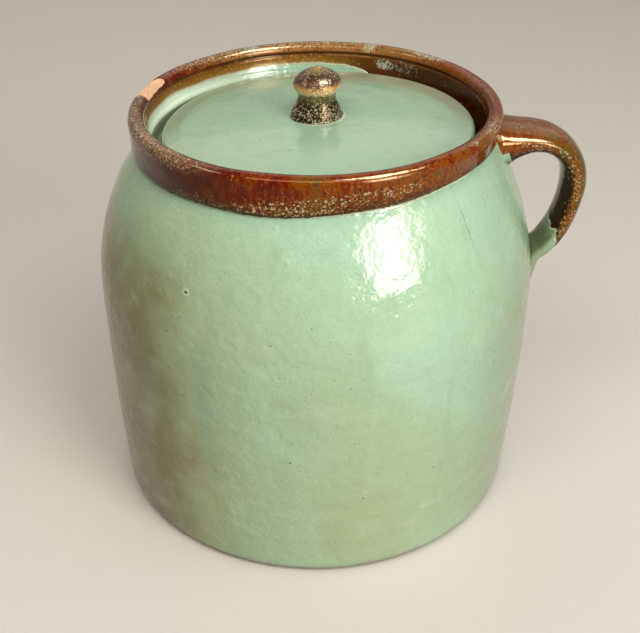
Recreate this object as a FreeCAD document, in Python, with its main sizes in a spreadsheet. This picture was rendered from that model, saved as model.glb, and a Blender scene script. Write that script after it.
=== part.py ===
import FreeCAD, Part
import math
import os

import Sketcher
from FreeCAD import Placement, Rotation, Vector

# A glazed storage crock with one strap handle, and the loose lid that lies in its mouth.
# The origin is the middle of the foot on the ground, +Z is up and the handle points to +X.

# Driving sizes, in millimetres unless the name ends in _angle (degrees).
SIZES = [
    # the wall
    ("body_radius", 120.0, "outer radius at the widest part"),
    ("widest_height", 126.0, "height of the widest part"),
    ("foot_radius", 115.2, "outer radius just above the foot's rounding"),
    ("foot_rounding", 8.0, "height and depth of the rounding at the foot"),
    ("wall_thickness", 8.0, "thickness of the thrown wall"),
    ("floor_thickness", 9.0, "thickness of the floor"),
    ("floor_rounding", 14.0, "rounding inside, where floor and wall meet"),
    # the collar round the mouth
    ("jar_height", 226.6, "height of the rim"),
    ("collar_height", 20.4, "height of the collar, from its lower edge to the rim"),
    ("neck_radius", 94.2, "outer radius of the shoulder where it meets the collar"),
    ("collar_step", 1.9, "how far the collar's lower edge stands out from the shoulder"),
    ("collar_radius", 97.1, "outer radius of the collar near the rim"),
    ("mouth_radius", 88.5, "inner radius of the mouth, just under the rim"),
    ("mouth_lean", 4.2, "how far the mouth's wall has curved in where it meets the ledge"),
    ("lip_rounding", 4.1, "rounding of both edges of the rim"),
    # the ledge that carries the lid
    ("ledge_depth", 22.7, "from the rim down to the ledge"),
    ("ledge_width", 12.5, "how far the ledge reaches in from the mouth"),
    ("ledge_thickness", 5.0, "thickness of the ledge at its inner edge"),
    ("ledge_slope", 10.0, "height of the slope under the ledge"),
    # the lid
    ("lid_gap", 1.9, "clearance between the lid and the foot of the mouth's wall, all round"),
    ("lid_shift", 1.3, "how far the lid has slid towards the handle"),
    ("lid_edge", 9.8, "thickness of the lid at its edge"),
    ("lid_rounding", 2.4, "rounding of the lid's edge"),
    ("lid_rise", 4.8, "rise of the lid's dome above its edge"),
    ("lid_seat_width", 17.0, "width of the flat ring under the lid"),
    ("lid_plate", 8.0, "thickness of the lid's plate in the middle"),
    # the knob on the lid
    ("knob_height", 26.6, "height of the knob above the dome"),
    ("knob_base_radius", 13.1, "radius of the knob's flared base"),
    ("knob_base_height", 3.4, "height of the knob's widest base ring"),
    ("knob_bevel", 1.2, "bevel under the knob's widest base ring"),
    ("knob_waist_radius", 10.0, "radius of the knob's waist"),
    ("knob_waist_height", 10.0, "height of the waist above the dome"),
    ("knob_cap_radius", 12.7, "radius of the knob's cap"),
    ("knob_cap_height", 17.7, "height of the cap's widest ring above the dome"),
    ("knob_undercut", 2.0, "height of the bevel under the cap's widest ring"),
    ("knob_sweep", 7.0, "radius of the hollow curves above and below the waist"),
    ("knob_tip_radius", 2.4, "radius of the small point on top"),
    ("knob_tip_height", 2.2, "height of the small point"),
    # the handle
    ("handle_drop", 20.6, "from the rim down to the middle of the strap's top run"),
    ("handle_standoff", 19.8, "from the widest part out to the middle of the strap"),
    ("handle_bend", 25.0, "radius of the strap's upper bend, along its middle"),
    ("handle_root_height", 136.0, "height at which the strap meets the wall"),
    ("handle_top_width", 32.0, "width of the strap at its top run"),
    ("handle_root_width", 24.0, "width of the strap where it meets the wall"),
    ("handle_top_thickness", 12.6, "thickness of the strap at its top run"),
    ("handle_root_thickness", 9.0, "thickness of the strap where it meets the wall"),
    ("haunch_depth", 14.0, "how much deeper the strap is where it springs from the collar"),
    ("haunch_drop", 4.0, "how far the middle of the strap sinks there"),
    ("haunch_flare", 6.0, "how much wider the strap is there"),
    ("haunch_reach", 18.0, "how far out of the collar the strap is deeper"),
    ("tail_length", 30.0, "length of the smoothed tail below the strap"),
    ("tail_rise", 2.8, "how far the tail stands out from the wall at its start"),
    # the chip in the rim
    ("chip_length", 27.0, "length of the chip along the rim"),
    ("chip_outer_depth", 3.2, "how far below the rim the chip meets the collar's face"),
    ("chip_inner_depth", 2.8, "how far below the rim the chip meets the mouth"),
    ("chip_angle", 165.6, "direction of the chip, from +X towards +Y"),
]

# Where the strap's sections sit. Shares run from 0 to 1.
HAUNCH_STEPS = ((0.0, 1.0), (0.35, 0.45), (0.8, 0.1))  # share of the reach, share of the haunch left
BEND_TURNS = (20, 55, 90)  # degrees turned down from level, round the upper bend
BEND_TAPER = 0.25  # share of the strap's taper that is done at the end of the bend
FALL_SHARES = (0.35, 0.7, 0.95)  # shares of the turn between the bend and the root
TAIL_STEPS = (  # share of the length, share of the rise, degrees turned, share of the section lost
    (0.4, 1.0, 102, 0.0),
    (0.75, 0.35, 94, 0.15),
    (1.0, 0.0, 92, 0.4),
)
CUT_OVERRUN = 2.0  # millimetres that a cutting outline runs past the surface it cuts

# Heights and radii that follow from the driving sizes.
NECK_HEIGHT = "(Sizes.jar_height - Sizes.collar_height)"
LEDGE_HEIGHT = "(Sizes.jar_height - Sizes.ledge_depth)"
LEDGE_RADIUS = "(Sizes.mouth_radius - Sizes.ledge_width)"
MOUTH_FOOT = "(Sizes.mouth_radius - Sizes.mouth_lean)"
LID_RADIUS = f"({MOUTH_FOOT} - Sizes.lid_gap)"


def bow_radius(run, rise):
    """Radius of an arc that starts upright and has moved rise sideways after run."""
    return f"(({run})^2 + ({rise})^2) / (2 * ({rise}))"


# The wall's two arcs meet at the widest part, where both run straight up.
BELLY_RADIUS = bow_radius(
    "Sizes.widest_height - Sizes.foot_rounding",
    "Sizes.body_radius - Sizes.foot_radius",
)
SHOULDER_RADIUS = bow_radius(
    f"{NECK_HEIGHT} - Sizes.widest_height",
    "Sizes.body_radius - Sizes.neck_radius",
)


def crown_radius(radius, inner_radius, rise):
    """Radius of a round crown centred on the axis, from radius in to inner_radius over rise."""
    below = f"((({radius})^2 - ({inner_radius})^2 - ({rise})^2) / (2 * ({rise})))"
    return f"sqrt(({radius})^2 + {below}^2)"


def inner_wall(height, arc_radius):
    """Radius of the cavity at a height, one wall inside an arc of the outer wall."""
    bow = f"({arc_radius} - Sizes.wall_thickness)"
    rise = f"({height} - Sizes.widest_height)"
    return f"(Sizes.body_radius - {arc_radius} + sqrt({bow}^2 - {rise}^2))"


def make_sheet(document):
    """The spreadsheet that holds the driving sizes."""
    sheet = document.addObject("Spreadsheet::Sheet", "Sizes")
    for row, (alias, number, meaning) in enumerate(SIZES, start=1):
        sheet.set(f"A{row}", alias)
        sheet.set(f"B{row}", str(number))
        sheet.set(f"C{row}", meaning)
        sheet.setAlias(f"B{row}", alias)
    document.recompute()
    return sheet


def new_body(document, label):
    body = document.addObject("PartDesign::Body", label)
    body.Label = label
    return body


def new_sketch(body, name, plane_role):
    """An empty sketch on one of the body's own origin planes."""
    plane = next(item for item in body.Origin.OriginFeatures if item.Role == plane_role)
    sketch = body.newObject("Sketcher::SketchObject", name)
    sketch.AttachmentSupport = [(plane, "")]
    sketch.MapMode = "FlatFace"
    return sketch


def bend_between(start, end, radius):
    """The shorter arc from start to end; a positive radius runs anticlockwise."""
    chord = end - start
    side = Vector(-chord.y, chord.x, 0).normalize()
    height = max(radius * radius - chord.Length ** 2 / 4, 0) ** 0.5
    centre = (start + end) / 2 + side * (height if radius > 0 else -height)
    circle = Part.Circle(centre, Vector(0, 0, 1), abs(radius))
    first, last = (start, end) if radius > 0 else (end, start)
    return Part.ArcOfCircle(circle, circle.parameter(first), circle.parameter(last))


def pin(sketch, side, end, axis, expression):
    """Hold one coordinate of a side's end at an expression."""
    value = float(sketch.evalExpression(expression))
    if value == 0:
        own_axis = -2 if axis == "DistanceX" else -1
        sketch.addConstraint(Sketcher.Constraint("PointOnObject", side, end, own_axis))
        return
    number = sketch.addConstraint(Sketcher.Constraint(axis, -1, 1, side, end, value))
    sketch.setExpression(f"Constraints[{number}]", expression)


def outline(sketch, corners):
    """A closed outline. Each corner gives its distance out, its height and, where the side
    that leaves it is an arc, that arc's radius, positive for anticlockwise."""
    points = [Vector(*(float(sketch.evalExpression(text)) for text in corner[:2]), 0) for corner in corners]
    ends = []
    for index, corner in enumerate(corners):
        start, end = points[index], points[(index + 1) % len(points)]
        if len(corner) == 2:
            sketch.addGeometry(Part.LineSegment(start, end))
            ends.append((1, 2))
            continue
        radius = float(sketch.evalExpression(corner[2]))
        sketch.addGeometry(bend_between(start, end, radius))
        ends.append((1, 2) if radius > 0 else (2, 1))
    for index, corner in enumerate(corners):
        following = (index + 1) % len(corners)
        meeting = (index, ends[index][1], following, ends[following][0])
        sketch.addConstraint(Sketcher.Constraint("Coincident", *meeting))
        pin(sketch, index, ends[index][0], "DistanceX", corner[0])
        pin(sketch, index, ends[index][0], "DistanceY", corner[1])
        if len(corner) == 3:
            radius = abs(float(sketch.evalExpression(corner[2])))
            number = sketch.addConstraint(Sketcher.Constraint("Radius", index, radius))
            sketch.setExpression(f"Constraints[{number}]", f"abs({corner[2]})")


def turned(body, kind, name, sketch):
    """A full turn of a sketch about the upright axis."""
    feature = body.newObject(kind, name)
    feature.Profile = sketch
    feature.ReferenceAxis = (sketch, ["V_Axis"])
    feature.Angle = 360
    sketch.Visibility = False
    body.Document.recompute()
    return feature


def jar_outside(body):
    """Foot, belly, shoulder, collar and rim as one turned solid."""
    sketch = new_sketch(body, "OutsideOutline", "XZ_Plane")
    lip_start = "Sizes.jar_height - Sizes.lip_rounding"
    outline(sketch, [
        ("0", "0"),
        ("Sizes.foot_radius - Sizes.foot_rounding", "0", "Sizes.foot_rounding"),
        ("Sizes.foot_radius", "Sizes.foot_rounding", BELLY_RADIUS),
        ("Sizes.body_radius", "Sizes.widest_height", SHOULDER_RADIUS),
        ("Sizes.neck_radius", NECK_HEIGHT),
        ("Sizes.neck_radius + Sizes.collar_step", f"{NECK_HEIGHT} + Sizes.collar_step / 2"),
        ("Sizes.collar_radius", lip_start, "Sizes.lip_rounding"),
        ("Sizes.collar_radius - Sizes.lip_rounding", "Sizes.jar_height"),
        ("0", "Sizes.jar_height"),
    ])
    turned(body, "PartDesign::Revolution", "Outside", sketch)


def jar_inside(body):
    """The cavity, the ledge for the lid and the mouth, cut as one turned groove."""
    sketch = new_sketch(body, "InsideOutline", "XZ_Plane")
    corner_height = "(Sizes.floor_thickness + Sizes.floor_rounding)"
    slope_foot = f"({LEDGE_HEIGHT} - Sizes.ledge_thickness - Sizes.ledge_slope)"
    lip_start = "(Sizes.jar_height - Sizes.lip_rounding)"
    mouth_bow = bow_radius(f"{lip_start} - {LEDGE_HEIGHT}", "Sizes.mouth_lean")
    above_rim = "Sizes.jar_height + Sizes.lip_rounding"
    outline(sketch, [
        ("0", "Sizes.floor_thickness"),
        (f"{inner_wall(corner_height, BELLY_RADIUS)} - Sizes.floor_rounding", "Sizes.floor_thickness",
         "Sizes.floor_rounding"),
        (inner_wall(corner_height, BELLY_RADIUS), corner_height, f"{BELLY_RADIUS} - Sizes.wall_thickness"),
        ("Sizes.body_radius - Sizes.wall_thickness", "Sizes.widest_height",
         f"{SHOULDER_RADIUS} - Sizes.wall_thickness"),
        (inner_wall(slope_foot, SHOULDER_RADIUS), slope_foot),
        (LEDGE_RADIUS, f"{LEDGE_HEIGHT} - Sizes.ledge_thickness"),
        (LEDGE_RADIUS, LEDGE_HEIGHT),
        (MOUTH_FOOT, LEDGE_HEIGHT, mouth_bow),
        ("Sizes.mouth_radius", lip_start, "-Sizes.lip_rounding"),
        ("Sizes.mouth_radius + Sizes.lip_rounding", "Sizes.jar_height"),
        ("Sizes.mouth_radius + Sizes.lip_rounding", above_rim),
        ("0", above_rim),
    ])
    turned(body, "PartDesign::Groove", "Inside", sketch)


def strap_section(body, name, place, width, thickness):
    """A flat section of the strap with round edges. place gives distance out, height and
    how far the strap's run has turned down from level."""
    out, height, turn = place
    sketch = new_sketch(body, name, "YZ_Plane")
    turn_value = float(sketch.evalExpression(turn))
    sketch.AttachmentOffset = Placement(Vector(0, 0, 0), Rotation(Vector(1, 0, 0), turn_value))
    sketch.setExpression("AttachmentOffset.Base.y", height)
    sketch.setExpression("AttachmentOffset.Base.z", out)
    round_radius = float(sketch.evalExpression(thickness)) / 2
    reach = float(sketch.evalExpression(width)) / 2 - round_radius
    right = Part.Circle(Vector(reach, 0, 0), Vector(0, 0, 1), round_radius)
    left = Part.Circle(Vector(-reach, 0, 0), Vector(0, 0, 1), round_radius)
    quarter = math.pi / 2
    sketch.addGeometry(Part.ArcOfCircle(right, -quarter, quarter))
    sketch.addGeometry(Part.LineSegment(Vector(reach, round_radius, 0), Vector(-reach, round_radius, 0)))
    sketch.addGeometry(Part.ArcOfCircle(left, quarter, 3 * quarter))
    sketch.addGeometry(Part.LineSegment(Vector(-reach, -round_radius, 0), Vector(reach, -round_radius, 0)))
    for side in range(4):
        sketch.addConstraint(Sketcher.Constraint("Tangent", side, 2, (side + 1) % 4, 1))
    sketch.addConstraint(Sketcher.Constraint("Equal", 0, 2))
    sketch.addConstraint(Sketcher.Constraint("Symmetric", 0, 3, 2, 3, -1, 1))
    sketch.addConstraint(Sketcher.Constraint("PointOnObject", 0, 3, -1))
    number = sketch.addConstraint(Sketcher.Constraint("DistanceX", 2, 3, 0, 3, 2 * reach))
    sketch.setExpression(f"Constraints[{number}]", f"{width} - {thickness}")
    number = sketch.addConstraint(Sketcher.Constraint("Radius", 0, round_radius))
    sketch.setExpression(f"Constraints[{number}]", f"({thickness}) / 2")
    sketch.Visibility = False
    return sketch


def strap_size(part, share):
    """Width or thickness of the strap a share of the way from its top run to its root."""
    top, root = f"Sizes.handle_top_{part}", f"Sizes.handle_root_{part}"
    return f"({top} + {share} * ({root} - {top}))"


def jar_handle(body):
    """The strap handle: a deep haunch out of the collar, the bend, and the fall onto the wall,
    where it ends in a smoothed tail."""
    top_height = "(Sizes.jar_height - Sizes.handle_drop)"
    reach = "(Sizes.body_radius + Sizes.handle_standoff)"
    bend_height = f"({top_height} - Sizes.handle_bend)"
    fall = f"({bend_height} - Sizes.handle_root_height)"
    fall_radius = f"({bow_radius(fall, 'Sizes.handle_standoff')})"
    fall_turn = f"asin({fall} / {fall_radius}) / 1deg"

    # each place: distance out, height, turn, width, thickness
    places = []
    for step, haunch in HAUNCH_STEPS:
        out = f"Sizes.collar_radius - Sizes.lip_rounding + {step} * Sizes.haunch_reach"
        width = f"(Sizes.handle_top_width + {haunch} * Sizes.haunch_flare)"
        thickness = f"(Sizes.handle_top_thickness + {haunch} * Sizes.haunch_depth)"
        places.append((out, f"{top_height} - {haunch} * Sizes.haunch_drop", "0", width, thickness))
    for turn in BEND_TURNS:
        out = f"{reach} - Sizes.handle_bend * (1 - sin({turn} deg))"
        height = f"{bend_height} + Sizes.handle_bend * cos({turn} deg)"
        taper = BEND_TAPER * turn / BEND_TURNS[-1]
        places.append((out, height, str(turn), strap_size("width", taper), strap_size("thickness", taper)))
    for share in FALL_SHARES:
        turn = f"({share} * {fall_turn})"
        out = f"{reach} - {fall_radius} * (1 - cos({turn} * 1deg))"
        height = f"{bend_height} - {fall_radius} * sin({turn} * 1deg)"
        taper = BEND_TAPER + (1 - BEND_TAPER) * share
        plumb_turn = f"{BEND_TURNS[-1]} + {turn}"
        places.append((out, height, plumb_turn, strap_size("width", taper), strap_size("thickness", taper)))
    for step, rise, turn, shrink in TAIL_STEPS:
        out = f"Sizes.body_radius - Sizes.handle_root_thickness / 2 + {rise} * Sizes.tail_rise"
        height = f"Sizes.handle_root_height - {step} * Sizes.tail_length"
        width = f"({strap_size('width', 1)} * (1 - {shrink}))"
        thickness = f"({strap_size('thickness', 1)} * (1 - {shrink}))"
        places.append((out, height, str(turn), width, thickness))

    sections = []
    for number, (out, height, turn, width, thickness) in enumerate(places):
        sections.append(strap_section(body, f"Strap{number}", (out, height, turn), width, thickness))
    body.Document.recompute()
    handle = body.newObject("PartDesign::AdditiveLoft", "Handle")
    handle.Profile = sections[0]
    handle.Sections = sections[1:]
    body.Document.recompute()


def rim_chip(body):
    """A nearly level flake broken off the top of the rim, right across it, cut as a short turn."""
    sketch = new_sketch(body, "ChipOutline", "XZ_Plane")
    above_rim = f"Sizes.jar_height + {CUT_OVERRUN}"
    inside_mouth = f"Sizes.mouth_radius - {CUT_OVERRUN}"
    past_face = f"Sizes.collar_radius + {CUT_OVERRUN}"
    outline(sketch, [
        (inside_mouth, above_rim),
        (inside_mouth, "Sizes.jar_height - Sizes.chip_inner_depth"),
        (past_face, "Sizes.jar_height - Sizes.chip_outer_depth"),
        (past_face, above_rim),
    ])
    direction = float(sketch.evalExpression("Sizes.chip_angle"))
    sketch.AttachmentOffset = Placement(Vector(0, 0, 0), Rotation(Vector(0, 1, 0), direction))
    chip = body.newObject("PartDesign::Groove", "Chip")
    chip.Profile = sketch
    chip.ReferenceAxis = (sketch, ["V_Axis"])
    chip.Midplane = True
    chip.setExpression("Angle", "Sizes.chip_length / Sizes.collar_radius * 1rad")
    sketch.Visibility = False
    body.Document.recompute()


def make_jar(document):
    body = new_body(document, "jar")
    jar_outside(body)
    jar_handle(body)
    jar_inside(body)
    rim_chip(body)
    return body


def make_lid(document):
    """The domed lid with its turned knob, resting on the ledge."""
    body = new_body(document, "lid")
    sketch = new_sketch(body, "LidOutline", "XZ_Plane")
    dome_foot = f"({LID_RADIUS} - Sizes.lid_rounding)"
    dome_radius = bow_radius(dome_foot, "Sizes.lid_rise")
    crown = "(Sizes.lid_edge + Sizes.lid_rise)"
    knob_foot = "(Sizes.knob_base_radius - Sizes.knob_bevel)"
    knob_foot_height = f"({crown} - {dome_radius} + sqrt(({dome_radius})^2 - {knob_foot}^2))"
    cap_radius = "Sizes.knob_cap_radius"
    cap_height = f"{crown} + Sizes.knob_cap_height"
    tip_radius = "Sizes.knob_tip_radius"
    tip_foot = "(Sizes.knob_height - Sizes.knob_tip_height)"
    cap_crown = crown_radius(cap_radius, tip_radius, f"{tip_foot} - Sizes.knob_cap_height")
    hollow_radius = f"({LID_RADIUS} - Sizes.lid_seat_width)"
    hollow_rise = f"({crown} - Sizes.lid_plate)"
    hollow_bow = bow_radius(hollow_radius, hollow_rise)
    outline(sketch, [
        ("0", hollow_rise, f"-({hollow_bow})"),
        (hollow_radius, "0"),
        (dome_foot, "0", "Sizes.lid_rounding"),
        (LID_RADIUS, "Sizes.lid_rounding"),
        (LID_RADIUS, "Sizes.lid_edge - Sizes.lid_rounding", "Sizes.lid_rounding"),
        (dome_foot, "Sizes.lid_edge", dome_radius),
        (knob_foot, knob_foot_height),
        ("Sizes.knob_base_radius", f"{crown} + Sizes.knob_bevel"),
        ("Sizes.knob_base_radius", f"{crown} + Sizes.knob_base_height", "-Sizes.knob_sweep"),
        ("Sizes.knob_waist_radius", f"{crown} + Sizes.knob_waist_height", "-Sizes.knob_sweep"),
        (cap_radius, f"{cap_height} - Sizes.knob_undercut"),
        (cap_radius, cap_height, cap_crown),
        (tip_radius, f"{crown} + {tip_foot}", bow_radius(tip_radius, "Sizes.knob_tip_height")),
        ("0", f"{crown} + Sizes.knob_height"),
    ])
    turned(body, "PartDesign::Revolution", "Disc", sketch)
    body.setExpression("Placement.Base.x", "Sizes.lid_shift")
    body.setExpression("Placement.Base.z", LEDGE_HEIGHT)
    document.recompute()
    return body


def check(document, bodies):
    """Stop if any object failed or any body isn't one valid solid."""
    for item in document.Objects:
        if "Invalid" in item.State or "Error" in item.State:
            raise RuntimeError(f"{item.Label} failed to build")
    for body in bodies:
        if body.Shape.isNull() or not body.Shape.isValid() or len(body.Shape.Solids) != 1:
            raise RuntimeError(f"{body.Label} isn't one valid solid")


def main():
    document = FreeCAD.newDocument("StorageJar")
    make_sheet(document)
    bodies = [make_jar(document), make_lid(document)]
    document.recompute()
    check(document, bodies)
    os.makedirs("parts", exist_ok=True)
    for body in bodies:
        body.Shape.exportStep(f"parts/{body.Label}.step")
        print(body.Label, "cubic millimetres:", round(body.Shape.Volume))


main()
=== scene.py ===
import math

import bpy
import numpy as np
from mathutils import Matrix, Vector


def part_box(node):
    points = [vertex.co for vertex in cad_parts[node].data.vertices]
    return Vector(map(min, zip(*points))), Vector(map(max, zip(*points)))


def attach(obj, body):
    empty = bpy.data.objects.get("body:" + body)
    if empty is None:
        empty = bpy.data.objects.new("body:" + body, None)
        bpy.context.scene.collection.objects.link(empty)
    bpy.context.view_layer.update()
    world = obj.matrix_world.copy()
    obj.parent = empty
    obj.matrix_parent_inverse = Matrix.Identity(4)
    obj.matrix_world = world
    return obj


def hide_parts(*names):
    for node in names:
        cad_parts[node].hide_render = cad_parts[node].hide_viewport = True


# A glazed storage crock: pale green body, brown glaze over collar and handle, domed lid with a knob.
# Sizes are in millimetres until a mesh is made. +Z is up and the handle points to +X.

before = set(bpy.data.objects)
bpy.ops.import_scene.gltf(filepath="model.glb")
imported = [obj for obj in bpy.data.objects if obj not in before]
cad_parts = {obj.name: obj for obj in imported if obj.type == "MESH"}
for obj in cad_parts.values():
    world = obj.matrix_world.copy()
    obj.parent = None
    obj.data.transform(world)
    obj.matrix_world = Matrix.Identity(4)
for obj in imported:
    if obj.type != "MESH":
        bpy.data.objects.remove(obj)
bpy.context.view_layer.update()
MM = 0.001

jar_low, jar_high = (Vector(corner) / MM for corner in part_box("jar"))
lid_low, lid_high = (Vector(corner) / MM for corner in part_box("lid"))

# ------------ sizes
BODY_RADIUS = -jar_low.x
RIM_HEIGHT = jar_high.z
WIDEST_HEIGHT = 126.0
FOOT_RADIUS = BODY_RADIUS - 4.8
FOOT_ROUNDING = 8.0
WALL = 8.0
FLOOR = 9.0
FLOOR_ROUNDING = 14.0
NECK_RADIUS = BODY_RADIUS - 25.8
NECK_HEIGHT = RIM_HEIGHT - 20.4
COLLAR_STEP = 1.9
COLLAR_RADIUS = BODY_RADIUS - 22.9
MOUTH_RADIUS = COLLAR_RADIUS - 8.6
LIP_ROUNDING = 4.1
LEDGE_HEIGHT = lid_low.z
LEDGE_RADIUS = MOUTH_RADIUS - 12.5
LEDGE_THICKNESS = 5.0
LEDGE_ROUNDING = 1.0
LEDGE_SLOPE = 10.0
END_RADIUS = 0.5           # an outline starts and ends this far from the axis

LID_RADIUS = (lid_high.x - lid_low.x) / 2
LID_CENTRE_X = (lid_high.x + lid_low.x) / 2
LID_EDGE = 9.0
LID_ROUNDING = 2.4
LID_RISE = 5.6
LID_LEAN = 0.018           # the lid lies a little higher towards the handle, mm for each mm
LID_PLATE = 8.0
LID_SEAT = 17.0
KNOB_HEIGHT = lid_high.z - lid_low.z - LID_EDGE - LID_RISE
KNOB_BASE = 13.1
KNOB_WAIST = 10.0
KNOB_CAP = 12.7
KNOB_LEAN = 0.03           # towards the handle, mm for each mm up
KNOB_SHIFT = 1.0           # the knob sits this far from the lid's middle, away from the handle

HANDLE_HEIGHT = RIM_HEIGHT - 20.6
HANDLE_REACH = BODY_RADIUS + 19.8
HANDLE_BEND = 25.0
HANDLE_ROOT_HEIGHT = 136.0
HANDLE_WIDTHS = (32.0, 24.0)
HANDLE_THICKNESSES = (10.4, 13.2, 9.4)
BEND_SHARE = 0.35          # the part of the strap's way that lies in its bend
HAUNCH_FADE = 10.0
HAUNCH_ABOVE, HAUNCH_BELOW, HAUNCH_BESIDE = 5.6, 15.0, 3.0
TAIL_LENGTH = 30.0
TAIL_NARROWING = 0.42
TAIL_THINNING = 0.25

MOUTH_LEAN = 4.5           # the mouth's wall leans in to this much at the ledge
MOUTH_RIPPLE = 0.10        # throwing marks on the wall inside the mouth
RIPPLE_PITCH = 3.3
CREASE_DEPTH = 0.9         # the groove under the lip, inside
CREASE_DROP = 1.7
CREASE_FOOT = 1.3
UNDERCUT = 0.1             # the wall below the groove stands back from the lip by this much
CHIP_ANGLE = math.radians(165.8)
CHIP_LENGTH = 29.0
CHIP_DEPTHS = (3.1, 2.8)   # below the rim, at the chip's outer and inner edge
CHIP_HINGE = 93.0          # here its slanting end is where a straight one would be

RIM_TILT = 0.0145          # the rim climbs towards the handle, mm for each mm
TILT_HEIGHTS = (150, 208)  # the climb sets in at the first and is whole at the second
FAR = 60.0                 # a distance surely inside or outside a band of glaze


# ------------ small helpers
def smooth(start, end, value):
    """0 at start, 1 at end, an even curve between and no change past them. It can run downwards."""
    share = np.clip((value - start) / (end - start), 0, 1)
    return share * share * (3 - 2 * share)


def shares(count):
    """Even steps after 0 up to 1."""
    return np.arange(1, count + 1) / count


def bow_radius(run, rise):
    """Radius of an arc that starts upright and has moved rise sideways after run."""
    return (run ** 2 + rise ** 2) / (2 * rise)


def line(start, end, count):
    """Points after start up to end."""
    way = (end[0] - start[0], end[1] - start[1])
    return [(start[0] + way[0] * k, start[1] + way[1] * k) for k in shares(count)]


def arc(centre, radius, first, last, count):
    """Points of an arc after its first angle, in degrees."""
    angles = np.radians(first + (last - first) * shares(count))
    return [(centre[0] + radius * math.cos(a), centre[1] + radius * math.sin(a)) for a in angles]


BELLY = bow_radius(WIDEST_HEIGHT - FOOT_ROUNDING, BODY_RADIUS - FOOT_RADIUS)
SHOULDER = bow_radius(NECK_HEIGHT - WIDEST_HEIGHT, BODY_RADIUS - NECK_RADIUS)


def wall_radius(height, inset=0.0):
    """Radius of the wall at a height, or of a surface inset into it."""
    bow = BELLY if height < WIDEST_HEIGHT else SHOULDER
    return BODY_RADIUS - bow + math.sqrt((bow - inset) ** 2 - (height - WIDEST_HEIGHT) ** 2)


def wall_rows(low, high, inset, count):
    """Points up or down the wall after low."""
    heights = low + (high - low) * shares(count)
    return [(wall_radius(height, inset), height) for height in heights]


def add(rows, points, zone):
    """Put points at the end of an outline, which is rows of (radius, height, zone)."""
    rows.extend((radius, height, zone) for radius, height in points)


def tilt(across, height):
    """How far the rim's climb lifts a point that lies across towards the handle."""
    return RIM_TILT * across * smooth(*TILT_HEIGHTS, height)


# ------------ the jar's outline
def jar_outline():
    """The outline from the middle of the foot, up the outside, over the rim and down the inside to
    the middle of the floor."""
    rows = [(END_RADIUS, 0.0, "foot")]
    foot_centre = (FOOT_RADIUS - FOOT_ROUNDING, FOOT_ROUNDING)
    add(rows, line((END_RADIUS, 0), (foot_centre[0], 0), 7), "foot")
    add(rows, arc(foot_centre, FOOT_ROUNDING, -90, 0, 8), "outside")
    for low, high, count in ((FOOT_ROUNDING, WIDEST_HEIGHT, 44), (WIDEST_HEIGHT, NECK_HEIGHT - 8, 26),
                             (NECK_HEIGHT - 8, NECK_HEIGHT, 8)):
        add(rows, wall_rows(low, high, 0, count), "outside")
    collar_foot = (NECK_RADIUS + COLLAR_STEP, NECK_HEIGHT + COLLAR_STEP)
    add(rows, arc((collar_foot[0] + 0.2, NECK_HEIGHT), COLLAR_STEP, 180, 92, 5), "step")
    lip_height = RIM_HEIGHT - LIP_ROUNDING
    add(rows, line(collar_foot, (COLLAR_RADIUS, lip_height), 14), "collar")
    add(rows, arc((COLLAR_RADIUS - LIP_ROUNDING, lip_height), LIP_ROUNDING, 0, 90, 11), "lip")
    add(rows, arc((MOUTH_RADIUS + LIP_ROUNDING, lip_height), LIP_ROUNDING, 90, 180, 11), "lip")
    crease = (MOUTH_RADIUS + CREASE_DEPTH, lip_height - CREASE_DROP)
    wall_top = (MOUTH_RADIUS + UNDERCUT, crease[1] - CREASE_FOOT)
    add(rows, line((MOUTH_RADIUS, lip_height), crease, 4), "inside")
    add(rows, line(crease, wall_top, 3), "inside")
    add(rows, mouth_wall(wall_top, 30), "inside")

    wall_foot = (MOUTH_RADIUS - MOUTH_LEAN - 1, LEDGE_HEIGHT)
    ledge_centre = (LEDGE_RADIUS + LEDGE_ROUNDING, LEDGE_HEIGHT - LEDGE_ROUNDING)
    add(rows, line(wall_foot, (ledge_centre[0], LEDGE_HEIGHT), 4), "inside")
    add(rows, arc(ledge_centre, LEDGE_ROUNDING, 90, 180, 3), "cavity")
    ledge_foot = (LEDGE_RADIUS, LEDGE_HEIGHT - LEDGE_THICKNESS)
    slope_foot = ledge_foot[1] - LEDGE_SLOPE
    add(rows, line((LEDGE_RADIUS, ledge_centre[1]), ledge_foot, 2), "cavity")
    add(rows, line(ledge_foot, (wall_radius(slope_foot, WALL), slope_foot), 5), "cavity")
    add(rows, wall_rows(slope_foot, WIDEST_HEIGHT, WALL, 8), "cavity")
    corner_height = FLOOR + FLOOR_ROUNDING
    corner_centre = (wall_radius(corner_height, WALL) - FLOOR_ROUNDING, corner_height)
    add(rows, wall_rows(WIDEST_HEIGHT - 0.01, corner_height, WALL, 8), "cavity")
    add(rows, arc(corner_centre, FLOOR_ROUNDING, 0, -90, 6), "cavity")
    add(rows, line((corner_centre[0], FLOOR), (END_RADIUS, FLOOR), 6), "cavity")
    return rows


def mouth_wall(top, count):
    """The wall inside the mouth after its top, which leans in more and more down to the ledge."""
    fall = LEDGE_HEIGHT + 0.3 - top[1]
    return [(top[0] - MOUTH_LEAN * k ** 2, top[1] + fall * k) for k in shares(count)]


def apart(angle, other):
    """The turn from other to angle, between minus and plus half a turn."""
    return (angle - other + math.pi) % (2 * math.pi) - math.pi


def turning_angles():
    """Directions of the columns round the jar, closer together across the chip."""
    chip_half = math.degrees(CHIP_LENGTH / COLLAR_RADIUS) / 2 + 3
    low, high = math.degrees(CHIP_ANGLE) - chip_half, math.degrees(CHIP_ANGLE) + chip_half
    fine = np.linspace(low, high, 70, endpoint=False)
    coarse = np.linspace(high, low + 360, 250, endpoint=False)
    return np.radians(np.concatenate([fine, coarse]))


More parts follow.
